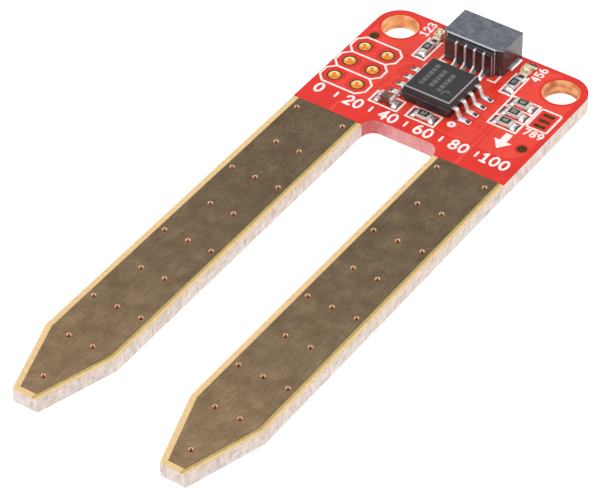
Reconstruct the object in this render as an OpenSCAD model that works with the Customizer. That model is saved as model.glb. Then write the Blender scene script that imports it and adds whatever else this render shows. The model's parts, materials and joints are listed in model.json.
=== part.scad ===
// Two-pronged resistive soil moisture sensor on one printed circuit board.
// X runs across the board, Y from the prong tips to the cable socket, Z up from
// the underside. The origin is midway between the mounting holes, on the underside.

/* [Board] */
// Width across the head and across both prongs
board_w = 22.86; // [22:0.01:24]
// Length from the back edge to the prong tips
board_l = 60.96; // [58:0.01:66]
// Finished thickness, outer layers included
board_t = 1.6; // [1.2:0.1:2]
// Thickness of each outer layer: mask, pads or electrode
skin_t = 0.05; // [0.04:0.01:0.08]
// Thickness of the copper under the mask
copper_t = 0.035; // [0.02:0.005:0.035]
// Length of the head, from the back edge to the end of the slot
head_l = 15.24; // [15:0.01:16]
// Length covered by the solder mask, from the back edge
mask_l = 16.51; // [16.4:0.01:18]

/* [Prongs] */
// Width of the slot between the prongs
slot_w = 7.8; // [7:0.1:8.4]
// Corner radius at the closed end of the slot
slot_r = 1.3; // [0.8:0.1:2]
// Length of the tapered tip
tip_l = 7.62; // [6:0.01:9]
// Width of the flat at the very tip
tip_w = 2.54; // [2:0.01:3.5]
// Bare border around each electrode
electrode_margin = 0.6; // [0.4:0.1:0.8]
// Spacing of the rows of plated holes along a prong
via_pitch = 5.08; // [4.8:0.01:5.2]
// Bore of a plated hole in a prong
via_d = 0.5; // [0.4:0.05:0.6]
// Wall thickness of the copper in every plated hole
plating_t = 0.05; // [0.04:0.01:0.06]

/* [Mounting holes] */
// Distance between the two mounting holes
hole_pitch = 17.78; // [17.5:0.01:18]
// Diameter of a mounting hole
hole_d = 3.4; // [3.2:0.1:3.5]
// Distance from the back edge to the hole centres, also the corner radius
hole_edge = 2.54; // [2.5:0.01:2.6]
// Width of the ring around a mounting hole that is clear of mask
hole_mask_gap = 0.12; // [0.05:0.01:0.2]

/* [Header holes] */
// Centre of the block of header holes
header_at = [-8.7, -6.92]; // [-9:0.01:9]
// Spacing of the header holes
header_pitch = 2.54; // [2.5:0.01:2.6]
// Bore of a plated header hole
header_d = 1.02; // [0.9:0.01:1.1]
// Diameter of the copper ring around a header hole
header_ring_d = 1.5; // [1.4:0.05:1.8]

/* [Cable socket] */
// Width of the socket housing
socket_w = 6.4; // [6.2:0.1:6.6]
// Height of the socket housing above the board
socket_h = 2.95; // [2.9:0.05:3.1]
// Distance from the back edge of the board to the socket mouth
socket_setback = 0.12; // [0:0.01:0.3]
// Depth of the housing's upper part
socket_depth = 3.74; // [3.6:0.01:3.9]
// Depth of the lower step that carries the contacts
socket_step = 0.46; // [0.4:0.01:0.5]
// Height of that step
socket_step_h = 2.45; // [2.4:0.05:2.5]
// Spacing of the contacts
contact_pitch = 1; // [1:0.01:1.05]
// Thickness of a contact blade
contact_t = 0.2; // [0.15:0.01:0.25]

/* [Controller] */
// Centre of the controller chip
controller_at = [-0.1, -6.53]; // [-1:0.01:-0.05]
// Size of the moulded body at its parting line
controller_size = [5.25, 5.2]; // [5.1:0.05:5.4]
// Height of the controller above the board
controller_h = 1.85; // [1.8:0.05:2]
// Spacing of the leads
lead_pitch = 1.27; // [1.27:0.01:1.3]
// Distance across the lead tips
lead_span = 8; // [7.8:0.1:8.2]
// Width of a lead
lead_w = 0.46; // [0.36:0.01:0.5]

/* [Chip parts] */
// Length of a chip resistor, capacitor or light
chip_l = 1.6; // [1.5:0.05:1.7]
// Width of a chip part
chip_w = 0.8; // [0.75:0.05:0.85]
// Height of a chip resistor
resistor_h = 0.45; // [0.4:0.05:0.5]
// Height of the chip capacitor
capacitor_h = 0.8; // [0.7:0.05:0.9]
// Height of a light, lens included
led_h = 0.6; // [0.55:0.05:0.7]
// Centre of the power light
power_led_at = [-4.88, 0.75]; // [-5.2:0.01:1]
// Centre of the status light
status_led_at = [4.72, 0.75]; // [0.5:0.01:5]
// Distance from a light to its series resistor
led_resistor_gap = 2.28; // [2.2:0.01:2.4]
// Centre of the first of three resistors in a column
column_at = [7, -3.63]; // [-4:0.01:7.2]
// Spacing of the three resistors
column_pitch = 1.52; // [1.5:0.01:1.6]
// Centre of the single lower resistor
lower_resistor_at = [0.28, -9.97]; // [-10:0.01:0.5]
// Centre of the capacitor
capacitor_at = [-3.75, -9.97]; // [-10:0.01:-3.6]

/* [Marks] */
// Centre of the three-strip jumper
jumper_at = [9.8, -4.47]; // [-4.6:0.01:9.9]
// Diameter of an alignment mark
fiducial_d = 1; // [0.8:0.1:1.2]

/* [Hidden] */

$fn = 64;
overcut = 1;

// Board outline
hole_x = hole_pitch / 2;
corner_r = board_w / 2 - hole_x;
back_y = hole_edge;
tip_y = back_y - board_l;
slot_end_y = back_y - head_l;
mask_end_y = back_y - mask_l;
shoulder_y = tip_y + tip_l;
prong_w = (board_w - slot_w) / 2;
prong_x = (board_w + slot_w) / 4;
core_t = board_t - 2 * skin_t;
tip_lean = atan((prong_w - tip_w) / 2 / tip_l);

// Plated holes of a prong: rows from the mask to the tip, offsets in half tenths of an inch
via_rows = 9;
via_step = 1.27;
via_first_y = mask_end_y - via_step;
via_wall_r = via_d / 2 + plating_t;

header_wall_r = header_d / 2 + plating_t;

// Copper under the mask
pour_end_y = -10.95;
pour_margin = 0.55;
pour_gap = 0.25;
trace_w = 0.3;
left_trace_x = -7.4;
right_trace_x = 6.2;

// Cable socket
socket_front_y = back_y - socket_setback;
socket_rear_y = socket_front_y - socket_depth;
step_rear_y = socket_rear_y - socket_step;
left_corner = 0.4;
right_corner = 0.8;
corner_depth = 0.27;
step_w = socket_w - left_corner - right_corner;
rear_edge = 0.12;
contact_count = 4;
cavity_w = 5.1;
cavity_h = 2;
cavity_floor = 0.5;
cavity_depth = 2.9;
mouth_bevel = 0.15;
contact_proud = 0.1;
contact_rear_y = step_rear_y - contact_proud;
contact_leg = 0.38;
contact_toe = 0.74;
contact_toe_t = 0.25;
contact_ease = [0.15, 0.2];
contact_bevel = 0.1;
toe_fillet = [0.25, 0.22];
contact_top = socket_step_h + 0.05;
pin_z = 1.5;
pin_half = 0.15;
pin_tip_y = socket_front_y - 0.8;
tab_t = 0.15;
tab_wall_x = 2.85;
tab_out = 0.2;
tab_fillet = 0.1;
tab_l = 1.8;
tab_h = 1.5;
tab_y = 1.12;
socket_pad_w = 0.6;
socket_pad_l = 1.5;
socket_pad_y = step_rear_y - contact_toe / 2;
tab_pad = [0.6, 2];

// Controller
controller_standoff = 0.1;
draft = 0.17;
edge_bevel = 0.1;
dimple_d = 0.8;
dimple_depth = 0.1;
dimple_inset = 1.15;
lead_t = 0.2;
lead_z = 0.95;
lead_shoulder = 0.35;
lead_foot = 0.65;
lead_inner = 1.6;
lead_fillet = 0.34;
die_pad_w = 2.6;
die_w = 1.8;
die_t = 0.25;
controller_pad = [1.45, 0.6];
controller_pad_x = lead_span / 2 - 0.25;

// Chip parts
plate_t = 0.03;
terminal_l = 0.3;
base_h = 0.25;
lens_l = 1.06;
lens_top_l = 0.94;
led_die_w = 0.26;
led_die_t = 0.1;
coat_inset = 0.02;
capacitor_skin = 0.03;
chip_pad = [0.95, 1];
chip_pad_x = 0.9;
fillet_run = 0.36;
fillet_rise = 0.75;

led_resistor_ats = [
    for (at = [power_led_at, status_led_at]) at - [0, led_resistor_gap]
];
column_ats = [for (i = [0:2]) column_at - [0, i * column_pitch]];
lying_resistor_ats = concat(column_ats, [lower_resistor_at]);
standing_ats = concat([power_led_at, status_led_at], led_resistor_ats);
lying_ats = concat(lying_resistor_ats, [capacitor_at]);

jumper_strip = [1.2, 0.42];
jumper_pitch = 0.83;
fiducial_ats = [[-10.15, -2.5], [10.15, -8.9]];

// The places where the same shape repeats

module at_both_prongs() {
    for (side = [-1, 1])
        translate([side * prong_x, 0, 0]) children();
}

module at_mounting_holes() {
    for (side = [-1, 1])
        translate([side * hole_x, 0, 0]) children();
}

module at_header_holes() {
    for (column = [-0.5, 0.5])
        for (row = [-1:1])
            translate([header_at.x + column * header_pitch, header_at.y + row * header_pitch, 0])
                children();
}

module at_contacts() {
    for (i = [0:contact_count - 1])
        translate([(i - (contact_count - 1) / 2) * contact_pitch, 0, 0]) children();
}

module at_leads() {
    for (side = [0, 180])
        for (i = [-1.5:1.5])
            translate([controller_at.x, controller_at.y, 0])
                rotate([0, 0, side])
                    translate([0, i * lead_pitch, 0]) children();
}

module at_lying(places) {
    for (at = places)
        translate([at.x, at.y, 0]) children();
}

module at_standing(places) {
    for (at = places)
        translate([at.x, at.y, 0]) rotate([0, 0, 90]) children();
}

module at_all_chips() {
    at_standing(standing_ats) children();
    at_lying(lying_ats) children();
}

module at_both_ends() {
    for (turn = [0, 180])
        rotate([0, 0, turn]) children();
}

function via_offsets(row) =
    row == 0 ? [-2, 2]
    : row == via_rows - 1 ? [0]
    : row % 2 == 1 ? [-1, 1]
    : [-2, 0, 2];

module at_prong_vias() {
    for (row = [0:via_rows - 1])
        for (offset = via_offsets(row))
            translate([offset * via_step, via_first_y - row * via_pitch, 0]) children();
}

// A block centred on X and Y that stands on z
module block(size, z = 0) {
    translate([-size.x / 2, -size.y / 2, z]) cube(size);
}

// Raises what sits on the board to its top face
module on_board() {
    translate([0, 0, board_t]) children();
}

// Outlines

// The face of one prong, centred on X and drawn in from the prong's edge by inset
module prong_outline(inset, top_y) {
    half = prong_w / 2 - inset;
    lean_y = shoulder_y + inset * tan(tip_lean / 2);
    tip_half = tip_w / 2 - inset * tan((90 - tip_lean) / 2);
    polygon([
        [-half, top_y], [half, top_y], [half, lean_y],
        [tip_half, tip_y + inset], [-tip_half, tip_y + inset], [-half, lean_y]
    ]);
}

// The corners beside one prong's tapered tip
module tip_corners() {
    lead_out = 0.2;
    top = [prong_w / 2, shoulder_y];
    low = [tip_w / 2, tip_y];
    run = low - top;
    for (side = [0, 1])
        mirror([side, 0])
            polygon([top - lead_out * run, low + lead_out * run, [prong_w, low.y - tip_l]]);
}

module slot_outline() {
    round_y = slot_end_y - slot_r;
    translate([-slot_w / 2, tip_y - overcut])
        square([slot_w, round_y - tip_y + overcut]);
    translate([slot_r - slot_w / 2, tip_y])
        square([slot_w - 2 * slot_r, slot_end_y - tip_y]);
    for (side = [-1, 1])
        translate([side * (slot_w / 2 - slot_r), round_y]) circle(r = slot_r);
}

module board_outline() {
    difference() {
        union() {
            at_mounting_holes() circle(r = corner_r, $fn = 128);
            translate([-hole_x, tip_y]) square([2 * hole_x, board_l]);
            translate([-board_w / 2, tip_y]) square([board_w, -tip_y]);
        }
        slot_outline();
        at_both_prongs() tip_corners();
    }
}

module head_outline() {
    intersection() {
        board_outline();
        translate([-board_w / 2, mask_end_y]) square([board_w, mask_l]);
    }
}

// Solder pads, each grown by a clearance on every side
module controller_pad_outlines(grow = 0) {
    pad = controller_pad + [2 * grow, 2 * grow];
    at_leads() translate([controller_pad_x, 0]) square(pad, center = true);
}

module socket_pad_outlines(grow = 0) {
    pad = [socket_pad_w + 2 * grow, socket_pad_l + 2 * grow];
    side_pad = tab_pad + [2 * grow, 2 * grow];
    at_contacts() translate([0, socket_pad_y]) square(pad, center = true);
    for (side = [-1, 1])
        translate([side * socket_w / 2, tab_y]) square(side_pad, center = true);
}

module chip_pad_outlines(grow = 0) {
    pad = chip_pad + [2 * grow, 2 * grow];
    at_all_chips() at_both_ends() translate([chip_pad_x, 0]) square(pad, center = true);
}

module jumper_outlines(grow = 0) {
    strip = jumper_strip + [2 * grow, 2 * grow];
    for (i = [-1:1])
        translate([jumper_at.x, jumper_at.y + i * jumper_pitch]) square(strip, center = true);
}

module fiducial_outlines(grow = 0) {
    for (at = fiducial_ats)
        translate([at.x, at.y]) circle(d = fiducial_d + 2 * grow);
}

module header_ring_outlines(grow = 0) {
    at_header_holes() circle(d = header_ring_d + 2 * grow);
}

module all_pad_outlines(grow = 0) {
    controller_pad_outlines(grow);
    socket_pad_outlines(grow);
    chip_pad_outlines(grow);
    jumper_outlines(grow);
    fiducial_outlines(grow);
}

module pour_outline() {
    difference() {
        translate([pour_margin - board_w / 2, pour_end_y])
            square([board_w - 2 * pour_margin, back_y - pour_margin - pour_end_y]);
        at_mounting_holes() circle(r = corner_r + pour_gap);
        for (side = [0, 1])
            mirror([side, 0])
                translate([hole_x, -corner_r - pour_gap])
                    square([corner_r + pour_gap, board_w]);
        header_ring_outlines(pour_gap);
    }
}

// A track that ends against the top edge of an electrode
module track_outline(x, top_y) {
    translate([x - trace_w / 2, mask_end_y])
        square([trace_w, top_y + pour_gap - mask_end_y]);
}

// Layers of the board

module laminate_core() {
    color("wheat")
        difference() {
            translate([0, 0, skin_t]) linear_extrude(core_t) board_outline();
            at_mounting_holes() cylinder(h = board_t, d = hole_d, $fn = 96);
            at_header_holes() cylinder(h = board_t, r = header_wall_r);
            at_both_prongs() at_prong_vias() cylinder(h = board_t, r = via_wall_r);
        }
}

module mask_outline() {
    difference() {
        head_outline();
        at_mounting_holes() circle(r = hole_d / 2 + hole_mask_gap, $fn = 96);
        header_ring_outlines();
    }
}

module solder_mask_top() {
    color("red")
        difference() {
            translate([0, 0, board_t - skin_t]) linear_extrude(skin_t)
                difference() {
                    mask_outline();
                    all_pad_outlines();
                }
            top_copper();
        }
}

module solder_mask_bottom() {
    color("red")
        difference() {
            linear_extrude(skin_t) mask_outline();
            bottom_copper();
        }
}

module top_copper() {
    color("peru")
        translate([0, 0, board_t - skin_t]) linear_extrude(copper_t) {
            difference() {
                pour_outline();
                all_pad_outlines(pour_gap);
            }
            track_outline(right_trace_x, pour_end_y);
        }
}

module bottom_copper() {
    color("peru")
        translate([0, 0, skin_t - copper_t]) linear_extrude(copper_t) {
            pour_outline();
            track_outline(left_trace_x, pour_end_y);
        }
}

module electrode(side, z) {
    translate([side * prong_x, 0, z])
        difference() {
            linear_extrude(skin_t) prong_outline(electrode_margin, mask_end_y);
            translate([0, 0, -overcut])
                at_prong_vias() cylinder(h = skin_t + 2 * overcut, r = via_wall_r);
        }
}

module left_electrode_top() {
    color("darkgoldenrod") electrode(-1, board_t - skin_t);
}

module right_electrode_top() {
    color("darkgoldenrod") electrode(1, board_t - skin_t);
}

module left_electrode_bottom() {
    color("darkgoldenrod") electrode(-1, 0);
}

module right_electrode_bottom() {
    color("darkgoldenrod") electrode(1, 0);
}

module electrode_vias() {
    color("gold")
        at_both_prongs() at_prong_vias()
            difference() {
                cylinder(h = board_t, r = via_wall_r);
                translate([0, 0, -overcut]) cylinder(h = board_t + 2 * overcut, d = via_d);
            }
}

module header_hole_eyelets() {
    color("gold")
        at_header_holes()
            difference() {
                union() {
                    cylinder(h = board_t, r = header_wall_r);
                    for (z = [0, board_t - skin_t])
                        translate([0, 0, z]) cylinder(h = skin_t, d = header_ring_d);
                }
                translate([0, 0, -overcut]) cylinder(h = board_t + 2 * overcut, d = header_d);
            }
}

// Lays an outline into the top layer of the board
module in_top_skin() {
    translate([0, 0, board_t - skin_t]) linear_extrude(skin_t) children();
}

module alignment_marks() {
    color("peru") in_top_skin() fiducial_outlines();
}

module jumper_strips() {
    color("peru") in_top_skin() jumper_outlines();
}

module controller_pads() {
    color("gold") in_top_skin() controller_pad_outlines();
}

module socket_pads() {
    color("gold") in_top_skin() socket_pad_outlines();
}

module chip_pads() {
    color("gold") in_top_skin() chip_pad_outlines();
}

// Controller chip

// Moulded body seen along one side: a drafted hexagon with bevelled top edges
module body_profile(width) {
    half = width / 2;
    parting = lead_z + lead_t / 2;
    polygon([
        [-half + draft, controller_standoff], [half - draft, controller_standoff],
        [half, parting],
        [half - draft, controller_h - edge_bevel], [half - draft - edge_bevel, controller_h],
        [-half + draft + edge_bevel, controller_h], [-half + draft, controller_h - edge_bevel],
        [-half, parting]
    ]);
}

module body_slab(width, length) {
    rotate([90, 0, 0])
        translate([0, 0, -length / 2]) linear_extrude(length) body_profile(width);
}

module controller_body() {
    size = controller_size;
    color("dimgray")
        difference() {
            on_board() translate([controller_at.x, controller_at.y, 0])
                difference() {
                    intersection() {
                        body_slab(size.x, size.y);
                        rotate([0, 0, 90]) body_slab(size.y, size.x);
                    }
                    translate([size.x / 2 - dimple_inset, dimple_inset - size.y / 2, 0])
                        translate([0, 0, controller_h - dimple_depth])
                            cylinder(h = overcut, d = dimple_d);
                }
            controller_leads();
            controller_die_pad();
            controller_die();
        }
}

// Gull-wing lead: a finger in the body, a shoulder, a slope and a flat foot
module lead_profile() {
    toe = lead_span / 2;
    heel = toe - lead_foot;
    bend = controller_size.x / 2 + lead_shoulder;
    top = lead_z + lead_t;
    polygon([
        [lead_inner, lead_z], [bend - lead_t / 2, lead_z], [heel - lead_t / 2, 0], [toe, 0],
        [toe, lead_t], [heel, lead_t], [bend, top], [lead_inner, top]
    ]);
}

module controller_leads() {
    color("silver")
        on_board() at_leads()
            rotate([90, 0, 0])
                translate([0, 0, -lead_w / 2]) linear_extrude(lead_w) lead_profile();
}

module controller_die_pad() {
    color("silver")
        on_board() translate([controller_at.x, controller_at.y, 0])
            block([die_pad_w, die_pad_w, lead_t], lead_z);
}

module controller_die() {
    color("slategray")
        on_board() translate([controller_at.x, controller_at.y, 0])
            block([die_w, die_w, die_t], lead_z + lead_t);
}

// Cable socket

module housing_plan() {
    half = socket_w / 2;
    polygon([
        [-half, socket_front_y], [half, socket_front_y],
        [half, socket_rear_y + corner_depth], [half - right_corner, socket_rear_y],
        [left_corner - half, socket_rear_y], [-half, socket_rear_y + corner_depth]
    ]);
}

// Side view of the housing's upper part, bevelled along the rear top edge
module housing_side() {
    polygon([
        [socket_front_y, 0], [socket_front_y, socket_h],
        [socket_rear_y + rear_edge, socket_h], [socket_rear_y, socket_h - rear_edge],
        [socket_rear_y, 0]
    ]);
}

// Mouth of the socket, with its lead-in bevel
module cavity_side() {
    low = cavity_floor;
    high = cavity_floor + cavity_h;
    inner_y = socket_front_y - cavity_depth;
    bevel_y = socket_front_y - mouth_bevel;
    polygon([
        [inner_y, low], [bevel_y, low], [socket_front_y, low - mouth_bevel],
        [socket_front_y + overcut, low - mouth_bevel],
        [socket_front_y + overcut, high + mouth_bevel],
        [socket_front_y, high + mouth_bevel], [bevel_y, high], [inner_y, high]
    ]);
}

// Turns a side view, drawn in Y and Z, into a plate centred on X
module side_plate(width) {
    rotate([90, 0, 90])
        translate([0, 0, -width / 2]) linear_extrude(width) children();
}

module socket_housing() {
    color("slategray")
        difference() {
            on_board() difference() {
                union() {
                    intersection() {
                        linear_extrude(socket_h) housing_plan();
                        side_plate(socket_w) housing_side();
                    }
                    translate([left_corner - socket_w / 2, step_rear_y, 0])
                        cube([step_w, socket_step + rear_edge, socket_step_h]);
                }
                side_plate(cavity_w) cavity_side();
            }
            socket_contacts();
            socket_solder_tabs();
        }
}

// Blanked contact: soldered toe, upright leg in the rear step, pin in the mouth
module contact_side() {
    leg_y = contact_rear_y + contact_leg;
    toe_y = contact_rear_y - contact_toe;
    ease_z = 2 * contact_toe_t;
    polygon([
        [toe_y, 0], [toe_y, contact_toe_t],
        [contact_rear_y - contact_ease.x, ease_z], [contact_rear_y, ease_z + contact_ease.y],
        [contact_rear_y, contact_top - contact_bevel], [contact_rear_y + contact_bevel, contact_top],
        [leg_y, contact_top], [leg_y, pin_z + pin_half],
        [pin_tip_y - pin_half, pin_z + pin_half], [pin_tip_y, pin_z],
        [pin_tip_y - pin_half, pin_z - pin_half], [leg_y, pin_z - pin_half], [leg_y, 0]
    ]);
}

module socket_contacts() {
    color("silver")
        on_board() at_contacts() side_plate(contact_t) contact_side();
}

// Anchor tab: a plate inside the side wall with a foot soldered beside the housing
module socket_solder_tabs() {
    color("silver")
        on_board()
            for (side = [0, 1])
                mirror([side, 0, 0]) {
                    translate([tab_wall_x, tab_y - tab_l / 2, 0])
                        cube([socket_w / 2 + tab_out - tab_wall_x, tab_l, tab_t]);
                    translate([tab_wall_x, tab_y - tab_l / 3, 0])
                        cube([tab_t, tab_l * 2 / 3, tab_h]);
                }
}

// Chip parts, each drawn lying along X on z = 0

// The inner block that two wrap-round terminals are fitted to
module chip_block(height) {
    block([chip_l - 2 * plate_t, chip_w, height - 2 * plate_t], plate_t);
}

module wrap_terminals(height) {
    difference() {
        at_both_ends()
            translate([chip_l / 2 - terminal_l, -chip_w / 2, 0])
                cube([terminal_l, chip_w, height]);
        chip_block(height);
    }
}

module led_base() {
    on_board() chip_block(base_h + plate_t);
}

module led_terminals() {
    on_board() wrap_terminals(base_h + plate_t);
}

module led_die() {
    on_board() block([led_die_w, led_die_w, led_die_t], base_h);
}

module led_lens() {
    difference() {
        on_board() rotate([90, 0, 0])
            translate([0, 0, -chip_w / 2]) linear_extrude(chip_w)
                polygon([
                    [-lens_l / 2, base_h + plate_t], [-lens_top_l / 2, led_h],
                    [lens_top_l / 2, led_h], [lens_l / 2, base_h + plate_t],
                    [chip_l / 2 - terminal_l, base_h + plate_t],
                    [chip_l / 2 - terminal_l, base_h],
                    [terminal_l - chip_l / 2, base_h], [terminal_l - chip_l / 2, base_h + plate_t]
                ]);
        led_die();
    }
}

module power_led_base() {
    color("ivory") at_standing([power_led_at]) led_base();
}

module power_led_terminals() {
    color("gold") at_standing([power_led_at]) led_terminals();
}

module power_led_lens() {
    color("lightyellow") at_standing([power_led_at]) led_lens();
}

module power_led_die() {
    color("khaki") at_standing([power_led_at]) led_die();
}

module status_led_base() {
    color("ivory") at_standing([status_led_at]) led_base();
}

module status_led_terminals() {
    color("gold") at_standing([status_led_at]) led_terminals();
}

module status_led_lens() {
    color("lightyellow") at_standing([status_led_at]) led_lens();
}

module status_led_die() {
    color("khaki") at_standing([status_led_at]) led_die();
}

module at_resistors() {
    at_standing(led_resistor_ats) children();
    at_lying(lying_resistor_ats) children();
}

module resistor_bodies() {
    color("whitesmoke") at_resistors() on_board() chip_block(resistor_h);
}

module resistor_coats() {
    coat_l = chip_l - 2 * terminal_l;
    color("black")
        at_resistors() on_board()
            block([coat_l, chip_w - 2 * coat_inset, plate_t], resistor_h - plate_t);
}

module resistor_terminals() {
    color("silver") at_resistors() on_board() wrap_terminals(resistor_h);
}

module capacitor_block() {
    size = [chip_l, chip_w, capacitor_h] - 2 * capacitor_skin * [1, 1, 1];
    block(size, capacitor_skin);
}

module capacitor_body() {
    color("tan") at_lying([capacitor_at]) on_board() capacitor_block();
}

module capacitor_terminals() {
    color("silver")
        at_lying([capacitor_at]) on_board()
            difference() {
                at_both_ends()
                    translate([chip_l / 2 - terminal_l, -chip_w / 2, 0])
                        cube([terminal_l, chip_w, capacitor_h]);
                capacitor_block();
            }
}

// Solder

// Wedge of solder that climbs a wall at x = 0 and runs out along +X
module fillet(run, rise, width) {
    rotate([90, 0, 0])
        translate([0, 0, -width / 2]) linear_extrude(width)
            polygon([[0, 0], [run, 0], [run * 0.35, rise * 0.35], [0, rise]]);
}

module end_fillets(height) {
    at_both_ends() translate([chip_l / 2, 0, 0]) fillet(fillet_run, height * fillet_rise, chip_w);
}

module chip_solder() {
    color("gainsboro")
        on_board() {
            at_resistors() end_fillets(resistor_h);
            at_standing([power_led_at, status_led_at]) end_fillets(base_h);
            at_lying([capacitor_at]) end_fillets(capacitor_h);
        }
}

module controller_solder() {
    color("gainsboro")
        on_board() at_leads()
            translate([lead_span / 2, 0, 0]) fillet(lead_fillet, lead_t, lead_w);
}

module socket_solder() {
    color("gainsboro")
        on_board() {
            at_contacts()
                translate([0, contact_rear_y - contact_toe, 0])
                    rotate([0, 0, -90]) fillet(toe_fillet.x, toe_fillet.y, 2 * contact_t);
            for (side = [0, 180])
                translate([0, tab_y, 0]) rotate([0, 0, side])
                    translate([socket_w / 2 + tab_out, 0, 0]) fillet(tab_fillet, tab_t, tab_l);
        }
}

header_hole_eyelets();
electrode_vias();
laminate_core();
solder_mask_top();
solder_mask_bottom();
top_copper();
bottom_copper();
left_electrode_top();
right_electrode_top();
left_electrode_bottom();
right_electrode_bottom();
alignment_marks();
jumper_strips();
controller_pads();
socket_pads();
chip_pads();
controller_body();
controller_leads();
controller_die_pad();
controller_die();
socket_housing();
socket_contacts();
socket_solder_tabs();
power_led_base();
power_led_terminals();
power_led_lens();
power_led_die();
status_led_base();
status_led_terminals();
status_led_lens();
status_led_die();
resistor_bodies();
resistor_coats();
resistor_terminals();
capacitor_body();
capacitor_terminals();
controller_solder();
socket_solder();
chip_solder();
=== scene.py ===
"""The looks of a two-pronged soil moisture sensor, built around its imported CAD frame.

Lengths are in metres, in the frame's own axes. Values named in millimetres are
multiplied by MM where they are used.
"""
import json
import math

import bmesh
import bpy
from mathutils import Matrix, Vector
from mathutils.geometry import delaunay_2d_cdt


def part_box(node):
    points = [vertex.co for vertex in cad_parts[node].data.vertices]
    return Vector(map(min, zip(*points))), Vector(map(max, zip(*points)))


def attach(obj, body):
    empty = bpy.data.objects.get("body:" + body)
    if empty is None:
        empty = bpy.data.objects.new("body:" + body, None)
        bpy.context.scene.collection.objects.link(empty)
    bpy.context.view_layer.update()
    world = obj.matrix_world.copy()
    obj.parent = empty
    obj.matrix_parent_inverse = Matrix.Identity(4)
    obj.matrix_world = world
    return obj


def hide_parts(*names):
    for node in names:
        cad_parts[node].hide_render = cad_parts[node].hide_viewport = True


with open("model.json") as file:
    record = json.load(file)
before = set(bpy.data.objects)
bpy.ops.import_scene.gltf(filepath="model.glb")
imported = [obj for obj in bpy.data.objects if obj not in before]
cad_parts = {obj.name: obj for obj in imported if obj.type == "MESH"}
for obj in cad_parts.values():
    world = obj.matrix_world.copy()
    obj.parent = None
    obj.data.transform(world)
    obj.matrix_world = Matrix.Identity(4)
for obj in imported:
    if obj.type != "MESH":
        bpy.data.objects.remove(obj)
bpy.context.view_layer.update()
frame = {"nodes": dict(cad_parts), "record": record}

MM = 0.001
BODY = "root"

# ---- the frame


def islands(node):
    """The box (low, high) of each separate solid in a CAD node, in millimetres, back rows first."""
    bm = bmesh.new()
    bm.from_mesh(frame["nodes"][node].data)
    bmesh.ops.remove_doubles(bm, verts=bm.verts, dist=1e-7)
    seen = set()
    boxes = []
    for start in bm.verts:
        if start in seen:
            continue
        seen.add(start)
        stack = [start]
        points = []
        while stack:
            vert = stack.pop()
            points.append(vert.co / MM)
            for edge in vert.link_edges:
                other = edge.other_vert(vert)
                if other not in seen:
                    seen.add(other)
                    stack.append(other)
        low = Vector([min(p[i] for p in points) for i in range(3)])
        high = Vector([max(p[i] for p in points) for i in range(3)])
        boxes.append((low, high))
    bm.free()
    return sorted(boxes, key=lambda b: (-round(b[0].y, 2), b[0].x))


def box_mm(node):
    low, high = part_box(node)
    return low / MM, high / MM


def middle(box):
    return (box[0] + box[1]) / 2


board = box_mm("laminate_core")
mask = box_mm("solder_mask_top")
top_z = mask[1].z
back_y = board[1].y
mask_end_y = mask[0].y
header_holes = islands("header_hole_eyelets")
header_pitch = 2.54
header_centre = sum((middle(b) for b in header_holes), Vector()) / len(header_holes)
hole_mount = next(m for m in frame["record"]["mounts"] if m["name"] == "mounting_holes")
hole_x = hole_mount["dims"]["spacing_x_mm"] / 2
hole_r = hole_mount["dims"]["hole_r_mm"]
pads = {n: islands(n) for n in ("controller_pads", "socket_pads", "chip_pads", "jumper_strips")}

# ---- mesh helpers


def finish_piece(obj, slot, material, *replaced):
    """Gives a piece its material, the CAD nodes it stands for and its body; the slot argument is not
    used.
    """
    obj.data.materials.clear()
    obj.data.materials.append(MATERIALS[material])
    if replaced:
        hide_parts(*replaced)
    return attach(obj, BODY)


def new_object(name, bm, smooth=False):
    bmesh.ops.recalc_face_normals(bm, faces=bm.faces)
    mesh = bpy.data.meshes.new(name)
    bm.to_mesh(mesh)
    bm.free()
    for polygon in mesh.polygons:
        polygon.use_smooth = smooth
    obj = bpy.data.objects.new(name, mesh)
    bpy.context.scene.collection.objects.link(obj)
    return obj


def apply_modifiers(obj):
    graph = bpy.context.evaluated_depsgraph_get()
    mesh = bpy.data.meshes.new_from_object(obj.evaluated_get(graph))
    obj.modifiers.clear()
    obj.data = mesh
    return obj


def soften(obj, radius, segments=3):
    """Rounds every sharp edge of a piece by a radius in millimetres and shades it smooth."""
    bevel = obj.modifiers.new("edges", "BEVEL")
    bevel.width = radius * MM
    bevel.segments = segments
    bevel.limit_method = "ANGLE"
    bevel.angle_limit = math.radians(28)
    bevel.use_clamp_overlap = True
    bevel.miter_outer = "MITER_ARC"
    normals = obj.modifiers.new("normals", "WEIGHTED_NORMAL")
    normals.keep_sharp = False
    normals.weight = 80
    for polygon in obj.data.polygons:
        polygon.use_smooth = True
    return apply_modifiers(obj)


def rounded_copy(name, node, radius, segments=3):
    """A copy of a CAD node, at its own size, with its sharp edges rounded."""
    bm = bmesh.new()
    bm.from_mesh(frame["nodes"][node].data)
    bmesh.ops.remove_doubles(bm, verts=bm.verts, dist=2e-7)
    bmesh.ops.dissolve_limit(bm, angle_limit=math.radians(1), verts=bm.verts, edges=bm.edges)
    return soften(new_object(name, bm), radius, segments)


def ring_at(bm, x, y, radius, z, steps):
    """The points of a level ring about an upright axis, in millimetres."""
    return [bm.verts.new((px * MM, py * MM, z * MM)) for px, py in disc(x, y, radius, steps)]


def bridge(bm, lower, upper):
    """Faces between two rings that have the same number of points."""
    for i in range(len(lower)):
        j = (i + 1) % len(lower)
        bm.faces.new([lower[i], lower[j], upper[j], upper[i]])


# Flat shapes, in millimetres: a shape is a list of convex or simple outlines


def rectangle(low_x, low_y, high_x, high_y):
    return [(low_x, low_y), (high_x, low_y), (high_x, high_y), (low_x, high_y)]


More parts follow.
